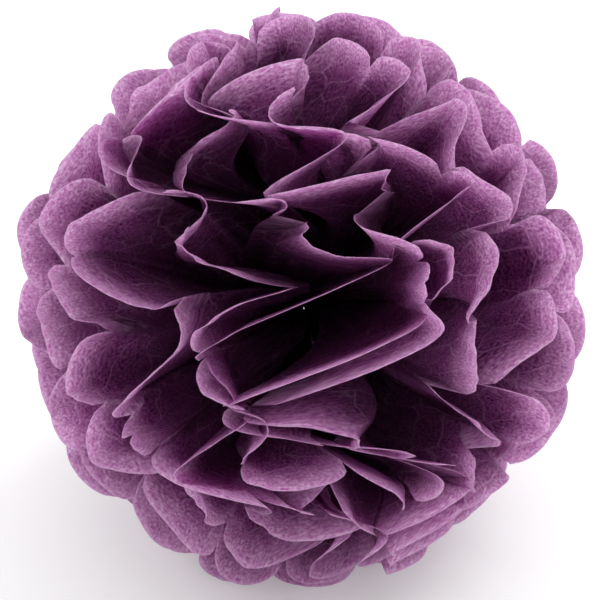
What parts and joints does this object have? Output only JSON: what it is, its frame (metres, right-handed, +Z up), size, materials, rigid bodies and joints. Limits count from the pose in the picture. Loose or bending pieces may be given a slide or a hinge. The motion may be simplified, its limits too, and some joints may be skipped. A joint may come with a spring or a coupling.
{
  "type": "tissue paper pom pom",
  "caption": "Ball of pleated tissue paper sheets with scalloped ends, tied in the middle with wire and fanned out into overlapping round petals.",
  "frame": {"origin": "middle of the footprint on the table, at table height", "axes": "+Z up, -Y towards the side with the open eye of the ball, +X to the right seen from there"},
  "size_m": [0.2556, 0.2582, 0.2385],
  "materials": {
    "tissue": "dyed tissue paper, matt and translucent, with cloudy fibres and fine creases",
    "wire": "thin bare florist's wire, softly shiny"
  },
  "bodies": {
    "root": {"tissue_sheet_01": "tissue", "tissue_sheet_02": "tissue", "tissue_sheet_03": "tissue", "tissue_sheet_04": "tissue", "tissue_sheet_05": "tissue", "tissue_sheet_06": "tissue", "tissue_sheet_07": "tissue", "tissue_sheet_08": "tissue", "tissue_sheet_09": "tissue", "tissue_sheet_10": "tissue", "tissue_sheet_11": "tissue", "tissue_sheet_12": "tissue", "tie_wire": "wire"}
  },
  "joints": []
}
